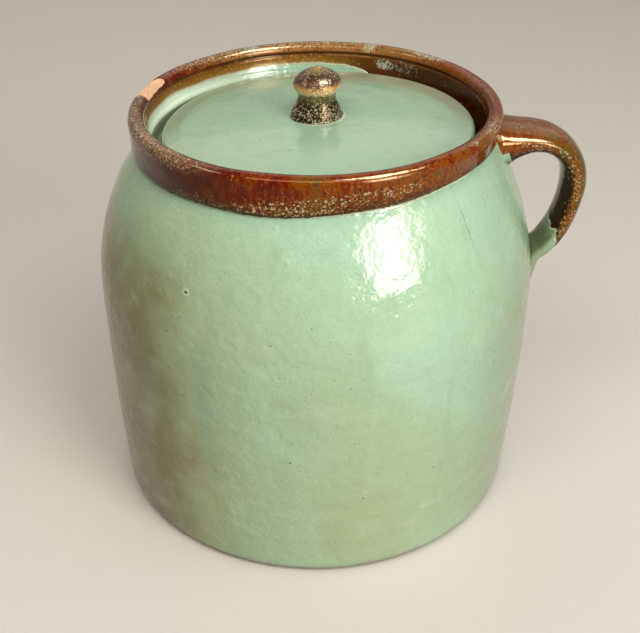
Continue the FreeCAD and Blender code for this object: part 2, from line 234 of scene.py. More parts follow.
# ------------ the potter's hand
def collar_edge(angle):
    """Height of the collar's lower edge, which climbs towards the handle and wavers."""
    climb = 7.6 * ((1 + np.cos(angle + math.radians(5))) / 2) ** 3
    return NECK_HEIGHT - 1.0 + climb + 0.3 * np.sin(5 * angle + 1) + 0.2 * np.sin(9 * angle + 2.2)


def inner_brown_edge(angle):
    """How far down the inside of the mouth the brown glaze runs. By the handle it is all brown."""
    towards_handle = np.cos(angle - math.radians(8))
    left = RIM_HEIGHT - 11.6 + 0.4 * np.sin(3 * angle)
    run = 6 * smooth(0.3, 0.62, towards_handle) + 30 * smooth(0.45, 0.8, towards_handle)
    high_place = np.exp(-(apart(angle, math.radians(92)) / 0.4) ** 2)
    return left - run + high_place + 0.4 * np.sin(7 * angle + 1) + 0.25 * np.sin(17 * angle)


def wobble(angle, height):
    """How far the thrown wall stands off a true circle, in and out together."""
    oval = 0.35 * np.cos(2 * angle + 0.6) * smooth(0, 60, height)
    lean = 0.25 * np.cos(3 * angle + 2.0) * smooth(20, 120, height)
    flat_side = -1.0 * np.exp(-apart(angle, math.pi) ** 2 / 0.5) * np.exp(-((height - 95) / 55) ** 2)
    return oval + lean + flat_side


def throwing_rings(angle, height):
    """Soft ridges left by the fingers, deepest low down towards the handle."""
    depth = 0.05 + 0.07 * np.exp(-((height - 38) / 26) ** 2) * (0.5 + 0.5 * np.cos(angle + 0.5))
    spiral = height + 2.2 * angle / (2 * math.pi)
    rings = np.sin(spiral / 2.1 + 0.8 * np.sin(height / 19)) + 0.5 * np.sin(spiral / 4.6 + 1)
    return depth * rings * smooth(6, 22, height) * (1 - smooth(178, 200, height))


def chip_cut(angle, radius, height):
    """How far a point lies outside the broken face, and the direction straight out of that face."""
    along = apart(angle, CHIP_ANGLE) * COLLAR_RADIUS
    end = CHIP_LENGTH / 2
    slope = math.atan2(CHIP_DEPTHS[0] - CHIP_DEPTHS[1], COLLAR_RADIUS - MOUTH_RADIUS)
    normal = (math.sin(slope), math.cos(slope))
    slant = np.where(along < 0, 0.45 * (radius - CHIP_HINGE), 0)
    past_end = np.clip(np.abs(along - slant + 0.5 * np.sin(radius * 0.9)) / end, 0, 1.5) ** 18
    roughness = 0.16 * np.sin(along * 0.8 + radius * 0.7) + 0.12 * np.sin(along * 2.1 + radius * 1.9)
    deeper = -0.04 * along
    level = MOUTH_RADIUS * normal[0] + (RIM_HEIGHT - CHIP_DEPTHS[1]) * normal[1]
    outside = radius * normal[0] + height * normal[1] - level - roughness - deeper - 5 * past_end
    return outside, normal


def shape_jar(angle, radius, height, run, zone):
    """Moves the true outline's points to where the hand-made jar has them, and says which glaze they
    carry. run is the way along the outline from the collar's foot over the rim."""
    edge = collar_edge(angle)
    lift = edge - NECK_HEIGHT
    new_radius = np.full_like(angle, radius)
    new_height = np.full_like(angle, height)
    brown = np.full_like(angle, -FAR)
    chip = np.full_like(angle, -FAR)
    none = np.zeros_like(angle)
    shade, lit_wall_painted_light = none, none
    if zone in ("outside", "step", "collar"):
        rising = smooth(NECK_HEIGHT - 20, NECK_HEIGHT, height)
        collar_face = RIM_HEIGHT - LIP_ROUNDING - NECK_HEIGHT - COLLAR_STEP
        falling = 1 - np.clip((height - NECK_HEIGHT - COLLAR_STEP) / collar_face, 0, 1)
        share = rising if zone == "outside" else falling
        new_height = height + lift * share
        new_radius = new_radius - np.maximum(lift, 0) * share * (0.22 if zone == "outside" else 0.1)
        new_radius = new_radius + throwing_rings(angle, height)
        brown = new_height - edge
    if zone == "collar":
        new_radius = new_radius + 0.14 * np.sin(6 * angle + height / 3) + 0.1 * np.sin(11 * angle + 2)
    if zone == "lip":
        brown = np.full_like(angle, FAR)
        unevenness = 0.12 * np.sin(7 * angle + 1) + 0.09 * np.sin(13 * angle)
        new_height = new_height + unevenness * smooth(16, 24, run)
    if zone in ("collar", "lip"):
        outside, normal = chip_cut(angle, new_radius, new_height)
        depth = np.maximum(outside, 0)
        new_radius = new_radius - depth * normal[0]
        new_height = new_height - depth * normal[1]
        chip = np.clip(outside, -FAR, FAR)
    if zone == "inside":
        brown = new_height - inner_brown_edge(angle)
        ripple = np.sin(2 * math.pi * height / RIPPLE_PITCH + 0.6 * np.sin(angle))
        new_radius = new_radius + MOUTH_RIPPLE * ripple * (brown < 0)
        # Painted light: the left part of the wall inside the mouth, which faces the window, is painted
        # brighter.
        lit_wall_painted_light = smooth(-0.2, -0.8, np.cos(angle))
        # Painted shade: the wall inside the mouth is painted darker below the lid's top edge, down in the
        # gap round the lid.
        shade = none + float(smooth(LID_EDGE - 3.4, LID_EDGE - 4.8, height - LEDGE_HEIGHT))
    new_radius = new_radius + wobble(angle, height) * smooth(0, 30, radius)
    if zone != "foot":
        new_height = new_height + tilt(np.cos(angle) * new_radius, height)
    fields = {"brown": brown, "chip": chip, "shade": shade, "lit_wall_painted_light": lit_wall_painted_light}
    return new_radius, new_height, {**fields, **collar_marks(angle, run, zone)}


# Patches of glaze on the collar: direction in degrees, way from the collar's foot, half size round the
# collar, half size up it and strength.
CRYSTAL_PATCHES = ((-68, 10, 26, 6, 0.6), (-122, 3.5, 44, 5, 0.45), (118, 24, 84, 9, 0.5))
ASH_PATCHES = ((-150, 21, 62, 9, 1.0), (-22, 19, 16, 8, 0.8), (178, 19, 34, 9, 0.7), (112, 24, 90, 6, 0.7))
FLECK_PATCHES = ((114.6, 24, 10, 4.5, 0.7), (69, 26, 7, 6, 0.75), (46, 23, 25, 6, 0.65),
                 (63, 36, 9, 5, 0.75), (53, 36, 18, 6, 0.4), (-37, 21, 6, 2.5, 0.5))
DARK_FACE_PATCHES = ((-140, 9, 70, 12, 0.75), (165, 9, 70, 12, 0.35))
SOOTY_PATCHES = ((114.6, 24, 13, 7, 1.2),)
LOW_CRYSTALS = (-92, 0, 42, 6, 1.2)


def patches(angle, run, places):
    """Soft patches of glaze added up: each has its strength in its middle and 0 outside it."""
    total = np.zeros_like(angle)
    for degrees, middle, half_round, half_up, strength in places:
        across = apart(angle, math.radians(degrees)) * COLLAR_RADIUS
        far = np.sqrt((across / half_round) ** 2 + ((run - middle) / half_up) ** 2)
        total = total + strength * (1 - smooth(0.35, 1, far))
    return total


def collar_marks(angle, run, zone):
    """Where the iron glaze carries crystals, pale ash or green flecks, and where it is darker: in patches,
    along the inner lip and the groove under it, and as painted shade deep inside the mouth.
    """
    if zone not in ("step", "collar", "lip", "inside"):
        none = np.zeros_like(angle)
        return {"crystal": none, "ash": none, "fleck": none, "dark_glaze_and_shade": none, "inside": none}
    climbing = 5.5 + 5 * smooth(-1.7, -1.25, apart(angle, 0))
    crystal = patches(angle, run - climbing, (LOW_CRYSTALS,)) + patches(angle, run, CRYSTAL_PATCHES)
    inner_lip = smooth(24, 26, run) * (1 - smooth(28.5, 30.5, run)) * smooth(0.5, -0.2, np.sin(angle))
    crease = 0.9 * smooth(29.5, 31, run) * (1 - smooth(32.0, 33.5, run)) * smooth(-0.95, -0.5, np.cos(angle))
    # Painted shade: the wall deep inside the mouth, on the handle's side, is painted darker.
    shaded = smooth(32, 34, run) * smooth(-0.1, 0.7, np.cos(angle))
    dark_glaze_and_shade = np.maximum(np.maximum(0.75 * inner_lip, crease), shaded)
    dark_glaze_and_shade = np.maximum(dark_glaze_and_shade, patches(angle, run, DARK_FACE_PATCHES))
    dark_glaze_and_shade = np.maximum(dark_glaze_and_shade, patches(angle, run, SOOTY_PATCHES))
    return {"crystal": crystal, "ash": patches(angle, run, ASH_PATCHES),
            "fleck": patches(angle, run, FLECK_PATCHES), "dark_glaze_and_shade": dark_glaze_and_shade,
            "inside": smooth(30, 37, run) * (1 - smooth(0.1, 0.5, np.cos(angle)))}


# ------------ mesh makers
def make_mesh(name, points, faces, fields):
    """A smooth-shaded mesh object from points in millimetres. fields are numbers for each point, by name."""
    mesh = bpy.data.meshes.new(name)
    mesh.from_pydata([tuple(point) for point in np.asarray(points) * MM], [], faces)
    for field, values in fields.items():
        attribute = mesh.attributes.new(field, "FLOAT", "POINT")
        attribute.data.foreach_set("value", np.asarray(values, dtype=np.float32))
    mesh.polygons.foreach_set("use_smooth", [True] * len(mesh.polygons))
    mesh.validate()
    mesh.update()
    piece = bpy.data.objects.new(name, mesh)
    bpy.context.scene.collection.objects.link(piece)
    return piece


def ring_faces(rows, columns):
    """Quads between neighbouring rings of a turned or swept skin."""
    faces = []
    for row in range(rows - 1):
        below, above = row * columns, (row + 1) * columns
        for column in range(columns):
            following = (column + 1) % columns
            faces.append((below + column, below + following, above + following, above + column))
    return faces


def run_lengths(outline, first_zone):
    """The way along the outline from where first_zone starts, in millimetres."""
    start = next(index for index, row in enumerate(outline) if row[2] == first_zone)
    steps = [0.0]
    for (radius, height, _), (next_radius, next_height, _) in zip(outline, outline[1:]):
        steps.append(steps[-1] + math.hypot(next_radius - radius, next_height - height))
    return [step - steps[start] for step in steps]


def merged(rings):
    """The fields of all the rings, end to end."""
    return {name: np.concatenate([ring[name] for ring in rings]) for name in rings[0]}


def turned_skin(outline, angles, shape, first_zone):
    """Points, faces and fields of a turned skin whose two ends close on the axis."""
    points, rings = [], []
    for (radius, height, zone), run in zip(outline, run_lengths(outline, first_zone)):
        radii, heights, fields = shape(angles, radius, height, run, zone)
        points.append(np.stack([radii * np.cos(angles), radii * np.sin(angles), heights], axis=1))
        rings.append(fields)
    columns = len(angles)
    faces = ring_faces(len(outline), columns)
    faces.append(tuple(range(columns - 1, -1, -1)))
    faces.append(tuple((len(outline) - 1) * columns + column for column in range(columns)))
    return np.concatenate(points), faces, merged(rings)


# ------------ the handle
def handle_spine():
    """Places along the strap's middle: distance out, height and share of the way to the root.
    Shares past 1 are in the tail."""
    bend_height = HANDLE_HEIGHT - HANDLE_BEND
    fall = bend_height - HANDLE_ROOT_HEIGHT
    fall_radius = bow_radius(fall, HANDLE_REACH - BODY_RADIUS)
    fall_turn = math.asin(fall / fall_radius)
    places = [(MOUTH_RADIUS + 5, HANDLE_HEIGHT - 1.4, 0), (COLLAR_RADIUS + 3, HANDLE_HEIGHT - 0.5, 0),
              (COLLAR_RADIUS + 11, HANDLE_HEIGHT, 0)]
    for turn in np.radians((4, 25, 47, 68, 90)):
        out = HANDLE_REACH - HANDLE_BEND * (1 - math.sin(turn))
        places.append((out, bend_height + HANDLE_BEND * math.cos(turn), BEND_SHARE * turn / (math.pi / 2)))
    for share in (0.2, 0.4, 0.6, 0.8, 0.96):
        turn = share * fall_turn
        out = HANDLE_REACH - fall_radius * (1 - math.cos(turn))
        height = bend_height - fall_radius * math.sin(turn)
        places.append((out, height, BEND_SHARE + (1 - BEND_SHARE) * share))
    tail_out = BODY_RADIUS - HANDLE_THICKNESSES[2] / 2
    for stand, drop, share in ((3.4, 0.4, 1.25), (1.2, 0.75, 1.55), (-0.4, 1.0, 1.8), (-1.6, 1.3, 2.0)):
        places.append((tail_out + stand, HANDLE_ROOT_HEIGHT - drop * TAIL_LENGTH, share))
    return np.array(places)


def through(places, steps):
    """A smooth run through places, with steps points between each pair."""
    padded = np.vstack([2 * places[0] - places[1], places, 2 * places[-1] - places[-2]])
    run = []
    for index in range(1, len(padded) - 2):
        before, start, end, after = padded[index - 1:index + 3]
        bend = 2 * before - 5 * start + 4 * end - after
        twist = 3 * start - before - 3 * end + after
        for k in np.arange(steps) / steps:
            run.append(0.5 * (2 * start + (end - before) * k + bend * k ** 2 + twist * k ** 3))
    run.append(places[-1])
    return np.array(run)


def power(value, exponent):
    """A power that keeps the value's sign."""
    return np.sign(value) * np.abs(value) ** exponent


def seat_in_wall(ring):
    """Keep a ring's points out of the cavity: none lies deeper than the middle of the wall."""
    distance = np.hypot(ring[:, 0], ring[:, 1])
    middle = np.array([wall_radius(min(height, NECK_HEIGHT)) - WALL / 2 for height in ring[:, 2]])
    middle = np.where(ring[:, 2] > NECK_HEIGHT, MOUTH_RADIUS + LIP_ROUNDING, middle)
    stretch = np.maximum(middle / distance, 1)
    ring[:, 0] *= stretch
    ring[:, 1] *= stretch
    return ring


def strap_ring(around, place, way):
    """A ring of points round a place on the strap's spine: swollen where it springs from the collar,
    narrower and thinner down the tail."""
    out, height, share = place
    tail = max(share - 1, 0)
    half_width = np.interp(share, (0, 1), HANDLE_WIDTHS) / 2
    half_width *= 1 - TAIL_NARROWING * tail
    half_thickness = np.interp(share, (0, BEND_SHARE, 1), HANDLE_THICKNESSES) / 2
    half_thickness *= 1 - TAIL_THINNING * tail
    haunch = math.exp(-max(out - COLLAR_RADIUS, 0) / HAUNCH_FADE) if share < 0.3 else 0
    upper = half_thickness + HAUNCH_ABOVE * haunch
    lower = half_thickness + HAUNCH_BELOW * haunch
    half_width += HAUNCH_BESIDE * haunch
    unevenness = 0.25 * np.sin(3 * around + share * 9) + 0.2 * np.sin(5 * around - share * 14)
    across = (half_width + unevenness) * power(np.cos(around), 2 / 2.25)
    rise = power(np.sin(around), 2 / 2.1)
    rise = np.where(rise > 0, rise * upper, rise * lower) + 0.3 * unevenness
    ring = np.stack([out - way[1] * rise, across, height + way[0] * rise], axis=1)
    ring[:, 2] += tilt(ring[:, 0], ring[:, 2])
    return seat_in_wall(ring)


def strap_glaze(around, ring):
    """Which glaze a ring carries: brown down to the strap's root, with painted shade on the side to the jar.
    """
    out, height = ring[:, 0], ring[:, 2]
    outer = np.sin(around)
    low_edge = 143 + 8 * (1 - outer) + 1.2 * np.sin(4 * around) + 0.8 * np.sin(9 * around)
    root_edge = 205 - 1.9 * (out - 100) + 1.5 * np.sin(out / 1.4)
    root_brown = np.where((out < 112) & (height < 206), height - root_edge, FAR)
    side = 1 - np.abs(outer + 0.15)
    return {"brown": np.minimum(height - low_edge, root_brown),
            "crystal": 0.6 * smooth(0.25, 0.75, side) * smooth(100, 112, out),
            "ash": 0.12 * smooth(0.4, 0.9, outer) * smooth(100, 108, out),
            # Painted shade: the strap's side towards the jar is painted darker, in the brown and in the
            # green.
            "dark_glaze_and_shade": 1.2 * smooth(0.1, 0.6, -outer),
            "shade": smooth(0.1, 0.6, -outer)}


def handle_skin():
    """Points, faces and fields of the strap, swept along its spine."""
    run = through(handle_spine(), 7)
    ways = np.gradient(run[:, :2], axis=0)
    ways /= np.linalg.norm(ways, axis=1)[:, None]
    columns = 48
    around = np.linspace(0, 2 * math.pi, columns, endpoint=False)
    points = [strap_ring(around, place, way) for place, way in zip(run, ways)]
    faces = [tuple(reversed(face)) for face in ring_faces(len(run), columns)]
    faces.append(tuple(range(columns)))
    faces.append(tuple((len(run) - 1) * columns + column for column in range(columns - 1, -1, -1)))
    return np.concatenate(points), faces, merged([strap_glaze(around, ring) for ring in points])


def make_jar():
    """The jar and its handle as one mesh."""
    points, faces, fields = turned_skin(jar_outline(), turning_angles(), shape_jar, "step")
    strap_points, strap_faces, strap_fields = handle_skin()
    offset = len(points)
    faces += [tuple(corner + offset for corner in face) for face in strap_faces]
    points = np.concatenate([points, strap_points])
    strap_fields["chip"] = np.full(len(strap_points), -FAR)
    for name in ("fleck", "inside", "lit_wall_painted_light"):
        strap_fields[name] = np.zeros(len(strap_points))
    joined = {name: np.concatenate([values, strap_fields[name]]) for name, values in fields.items()}
    return make_mesh("jar_ware", points, faces, joined)


# ------------ the lid
def dome_rows(top, bow, first, last, count):
    """Points along a dome with its top at a height, after the first radius up to the last."""
    radii = first + (last - first) * shares(count)
    return [(radius, top - bow + math.sqrt(bow ** 2 - radius ** 2)) for radius in radii]


def lid_outline():
    """The outline, measured from the ledge, from the middle of the underside to the knob's tip."""
    crown = LID_EDGE + LID_RISE
    dome_edge = LID_RADIUS - LID_ROUNDING
    hollow_edge = LID_RADIUS - LID_SEAT
    hollow_top = crown - LID_PLATE
    rows = [(0.4, hollow_top, "under")]
    add(rows, dome_rows(hollow_top, bow_radius(hollow_edge, hollow_top), 0, hollow_edge, 8), "under")
    add(rows, line((hollow_edge, 0), (dome_edge, 0), 4), "under")
    add(rows, arc((dome_edge, LID_ROUNDING), LID_ROUNDING, -90, 0, 5), "top")
    shoulder_height = LID_EDGE - LID_ROUNDING
    add(rows, line((LID_RADIUS, LID_ROUNDING), (LID_RADIUS, shoulder_height), 3), "top")
    add(rows, arc((dome_edge, shoulder_height), LID_ROUNDING, 0, 86, 7), "top")
    knob_foot = KNOB_BASE + 0.6
    add(rows, dome_rows(crown, bow_radius(dome_edge, LID_RISE), dome_edge, knob_foot, 32), "top")
    profile = through(knob_places(knob_foot), 3)[1:]
    add(rows, [(radius, crown + height) for radius, height in profile], "knob")
    return rows


def knob_places(foot):
    """The knob's profile above the dome: flared base, waist, wide cap and a small point."""
    base = [(foot, 0.0), (KNOB_BASE + 0.15, 0.3), (KNOB_BASE + 0.1, 1.2), (KNOB_BASE - 0.1, 2.4),
            (KNOB_BASE - 0.6, 3.8), (KNOB_BASE - 1.4, 5.4), (KNOB_BASE - 2.3, 7.2)]
    waist = [(KNOB_WAIST + 0.2, 9.0), (KNOB_WAIST - 0.1, 10.7), (KNOB_WAIST + 0.1, 12.3),
             (KNOB_WAIST + 0.9, 13.8)]
    cap = [(KNOB_CAP - 0.9, 15.3), (KNOB_CAP - 0.2, 16.5), (KNOB_CAP, 17.7), (KNOB_CAP - 0.5, 19.2),
           (KNOB_CAP - 1.8, 21.0), (KNOB_CAP - 4.2, 22.9), (KNOB_CAP - 7.2, 24.3), (KNOB_CAP - 9.5, 25.1)]
    point = [(2.0, 25.8), (1.1, KNOB_HEIGHT - 0.25), (0.35, KNOB_HEIGHT)]
    return np.array(base + waist + cap + point)


def shape_lid(angle, radius, height, run, zone):
    """The hand-made lid: a little uneven, with brown glaze on its knob."""
    radii = np.full_like(angle, radius)
    heights = np.full_like(angle, height + LEDGE_HEIGHT)
    brown = np.full_like(angle, -FAR)
    none = np.zeros_like(angle)
    level, shade, band = none, none, none
    if zone == "top":
        radii = radii + 0.35 * np.cos(2 * angle + 1.1) * smooth(40, 82, radius)
        rings = 0.07 * np.sin(radius / 2.6 + angle / (2 * math.pi))
        heights = heights + (0.18 * np.sin(3 * angle + 0.7) + rings) * smooth(15, 60, radius)
        brown = KNOB_BASE + 0.5 - radii
        # Painted shade: the lid's rounded side below its top edge, down in the gap, is painted darker.
        shade = none + float(smooth(LID_EDGE - 0.5, LID_EDGE - 2.0, height))
        # Painted shade and reflection of the mouth's wall: bands along the lid's edge at the back, widest
        # towards the right.
        width = 11 + 11 * np.exp(-(apart(angle, math.radians(70)) / 0.7) ** 2)
        band = smooth(0, 2.5, width - (LID_RADIUS - radius))
    if zone == "knob":
        above_crown = height - LID_EDGE - LID_RISE
        radii = radii + 0.22 * np.cos(3 * angle + 1) + 0.15 * np.cos(2 * angle + above_crown / 5)
        brown = none + 0.4 + above_crown
        level = none + above_crown
    return radii, heights, {"brown": brown, "level": level, "shade": shade,
                            "painted_warm_edge": band * smooth(0.3, 0.8, np.cos(angle - math.radians(58))),
                            "painted_olive_edge": band * smooth(0.3, 0.8, np.cos(angle - math.radians(132)))}


def make_lid():
    """The lid as it lies: a little off the mouth's middle, leaning, and with its knob leaning too."""
    angles = np.linspace(0, 2 * math.pi, 208, endpoint=False)
    points, faces, fields = turned_skin(lid_outline(), angles, shape_lid, "top")
    above_crown = np.clip(points[:, 2] - LEDGE_HEIGHT - LID_EDGE - LID_RISE, 0, None)
    points[:, 0] += LID_CENTRE_X + KNOB_LEAN * above_crown - KNOB_SHIFT * (fields["brown"] > 0)
    points[:, 2] += tilt(points[:, 0], LEDGE_HEIGHT) + LID_LEAN * points[:, 0]
    return make_mesh("lid_ware", points, faces, fields)


# ------------ shader helpers
class Value:
    """A number that a node gives, for sums and products with others."""

    def __init__(self, shader, socket):
        self.shader = shader
        self.socket = socket

    def __add__(self, other):
        return self.shader.math("ADD", self, other)

    def __sub__(self, other):
        return self.shader.math("SUBTRACT", self, other)

    def __mul__(self, other):
        return self.shader.math("MULTIPLY", self, other)


class Shader:
    """A short way to write the nodes of a new material or of the world. place is where a point lies on
    its piece, in millimetres."""

    def __init__(self, name, world=None):
        self.owner = world or bpy.data.materials.new(name)
        self.owner.use_nodes = True
        self.tree = self.owner.node_tree
        self.tree.nodes.clear()
        self.output = self.node("OutputWorld" if world else "OutputMaterial")
        self.place = self.scaled(self.node("TexCoord").outputs["Object"], (1 / MM,) * 3)

    def node(self, kind, *values):
        """A new node with its first inputs set."""
        node = self.tree.nodes.new("ShaderNode" + kind)
        for socket, value in zip(node.inputs, values):
            self.put(socket, value)
        return node

    def put(self, socket, value):
        """Link a value or set a plain one."""
        if isinstance(value, Value):
            value = value.socket
        if isinstance(value, bpy.types.NodeSocket):
            self.tree.links.new(value, socket)
        elif isinstance(value, tuple) and socket.type == "RGBA":
            socket.default_value = (*value, 1)
        else:
            socket.default_value = value

    def math(self, operation, *values):
        node = self.node("Math", *values)
        node.operation = operation
        return Value(self, node.outputs[0])

    def vector_math(self, operation, first, second):
        node = self.node("VectorMath", first, second)
        node.operation = operation
        return node.outputs

    def scaled(self, vector, factors):
        return self.vector_math("MULTIPLY", vector, factors)["Vector"]

    def dot(self, direction):
        """How far the place lies along a direction, in millimetres."""
        return Value(self, self.vector_math("DOT_PRODUCT", self.place, direction)["Value"])

    def axes(self, vector=None):
        """The three parts of a vector, or of the place."""
        return [Value(self, part) for part in self.node("SeparateXYZ", vector or self.place).outputs]

    def between(self, value, start, end, first=0.0, last=1.0):
        """first where value is at start, last where it is at end and an even curve between."""
        node = self.node("MapRange", value, start, end, first, last)
        node.interpolation_type = "SMOOTHSTEP"
        return Value(self, node.outputs[0])

    def field(self, name):
        """One of the numbers that the mesh carries for each point."""
        node = self.node("Attribute")
        node.attribute_name = name
        return Value(self, node.outputs["Fac"])

    def scattered(self, kind, size, vector, offset):
        """A texture whose details are about size millimetres across, moved by an offset."""
        node = self.node(kind, self.vector_math("ADD", vector, offset)["Vector"])
        node.inputs["Scale"].default_value = 1 / size
        return node

    def noise(self, size, detail, roughness, seed, place=None, distortion=0.0):
        """Noise whose blots are about size millimetres across."""
        node = self.scattered("TexNoise", size, place or self.place, (seed, seed * 0.7, seed * 1.3))
        node.inputs["Detail"].default_value = detail
        node.inputs["Roughness"].default_value = roughness
        node.inputs["Distortion"].default_value = distortion
        return Value(self, node.outputs["Fac"])

    def sway(self, size, width, seed, detail=3, roughness=0.6):
        """Noise that swings to both sides of 0 and is width wide."""
        return (self.noise(size, detail, roughness, seed) - 0.5) * width

    def cells(self, size, seed):
        """Distance to scattered points about size millimetres apart, and a colour for each point."""
        return self.scattered("TexVoronoi", size, self.place, (seed, seed * 1.7, seed * 0.3)).outputs

    def specks(self, spacing, size, share, seed):
        """A mask of small round specks: spacing apart, up to size across, in a share of the cells."""
        cells = self.cells(spacing, seed)
        chosen = self.axes(cells["Color"])[0]
        radius = self.between(chosen, 1 - share, 1.0, 0.25, 1.0) * (size / spacing / 2)
        core, rim = radius * (1 - SPECK_SOFTNESS), radius * (1 + SPECK_SOFTNESS)
        here = self.math("GREATER_THAN", chosen, 1 - share)
        return self.between(cells["Distance"], core, rim, 1, 0) * here

    def spot(self, degrees, height, half_width, half_height, waver=0.0):
        """A soft patch on the wall: 1 in its middle, 0 outside it. waver moves it sideways."""
        way = math.radians(degrees)
        across = (self.dot((-math.sin(way), math.cos(way), 0)) + waver) * (1 / half_width)
        up = (self.axes()[2] - height) * (1 / half_height)
        far = self.math("SQRT", across * across + up * up)
        facing = self.math("GREATER_THAN", self.dot((math.cos(way), math.sin(way), 0)), 0)
        return self.between(far, 1, 0.2) * facing

    def ramp(self, value, stops):
        """A colour for each value, from stops of (value, colour)."""
        node = self.node("ValToRGB", value)
        elements = node.color_ramp.elements
        while len(elements) < len(stops):
            elements.new(0.5)
        for element, (position, colour) in zip(elements, stops):
            element.position = position
            element.color = (*colour, 1)
        return node.outputs[0]

    def mix(self, share, first, second):
        """The first colour where share is 0 and the second where it is 1."""
        node = self.node("Mix", share)
        node.data_type = "RGBA"
        self.put(node.inputs[6], first)
        self.put(node.inputs[7], second)
        return node.outputs[2]

    def layers(self, colour, *coats):
        """colour under coats of paint. Each coat has its share, 0 to 1, and its paint."""
        for share, paint in coats:
            colour = self.mix(share, colour, paint)
        return colour

    def bump(self, height):
        """A normal from a height in millimetres."""
        node = self.node("Bump")
        node.inputs["Strength"].default_value = 1
        node.inputs["Distance"].default_value = MM
        self.put(node.inputs["Height"], height)
        return node.outputs[0]

    def surface(self, kind, **inputs):
        """What the material shows, from a node and its inputs by name, with _ for a space."""
        node = self.node(kind)
        for name, value in inputs.items():
            self.put(node.inputs[name.replace("_", " ")], value)
        self.tree.links.new(node.outputs[0], self.output.inputs["Surface"])


# ------------ glazes
GLAZE_IOR = 1.45
SPECK_SOFTNESS = 0.35
# Tints of what the glazes mirror. A real glaze has none: they keep the pale floor from veiling the brown.
MIRRORED_IN_GREEN = (1.0, 0.86, 0.70)
MIRRORED_IN_BROWN = (0.85, 0.52, 0.27)
GREEN_COOL = (0.385, 0.570, 0.385)
GREEN_MAIN = (0.375, 0.500, 0.305)
GREEN_WARM = (0.380, 0.420, 0.220)
GREEN_DEEP = (0.230, 0.340, 0.205)
# Painted shade and warm reflection on the sides of the body.
OLIVE_SHADE_AND_REFLECTION = (0.160, 0.102, 0.008)
# Painted shade, in the gap round the lid and on the strap's side towards the jar.
GREEN_PAINTED_SHADE = (0.080, 0.090, 0.035)
GREEN_PALE = (0.520, 0.670, 0.460)
# Painted light on the lit wall inside the mouth.
GREEN_PAINTED_LIGHT = (0.860, 1.000, 0.760)
GREEN_BLUE = (0.250, 0.410, 0.280)
# Painted shade and reflection along the lid's edge at the back.
GREEN_PAINTED_WARM = (0.400, 0.290, 0.180)
GREEN_PAINTED_OLIVE = (0.190, 0.200, 0.120)
GREEN_LINE = (0.620, 0.640, 0.420)
IRON_SPECK = (0.060, 0.070, 0.035)
RUST_BLACK = (0.012, 0.003, 0.001)
RUST_DARK = (0.045, 0.003, 0.001)
RUST_RED = (0.150, 0.006, 0.000)
AMBER = (0.205, 0.050, 0.001)
AMBER_PAINTED_SHEEN = (0.380, 0.170, 0.050)
OLIVE = (0.085, 0.055, 0.010)
OLIVE_GOLD = (0.260, 0.120, 0.015)
OLIVE_BLACK = (0.016, 0.012, 0.004)
GOLD = (0.340, 0.170, 0.030)
CREAM = (0.560, 0.490, 0.290)
ASH = (0.310, 0.200, 0.110)
FLECK = (0.420, 0.480, 0.320)
KNOB_OLIVE = (0.090, 0.080, 0.020)
KNOB_MOSS = (0.160, 0.110, 0.030)
KNOB_RING = (0.950, 0.680, 0.340)
KNOB_AMBER = (0.620, 0.320, 0.100)
KNOB_TIP = (0.340, 0.220, 0.070)
PLUM = (0.070, 0.030, 0.020)
CLAY = (0.700, 0.335, 0.165)
CLAY_PALE = (0.810, 0.540, 0.325)
CRACK = (0.100, 0.120, 0.070)
BARE_FOOT = (0.460, 0.340, 0.220)


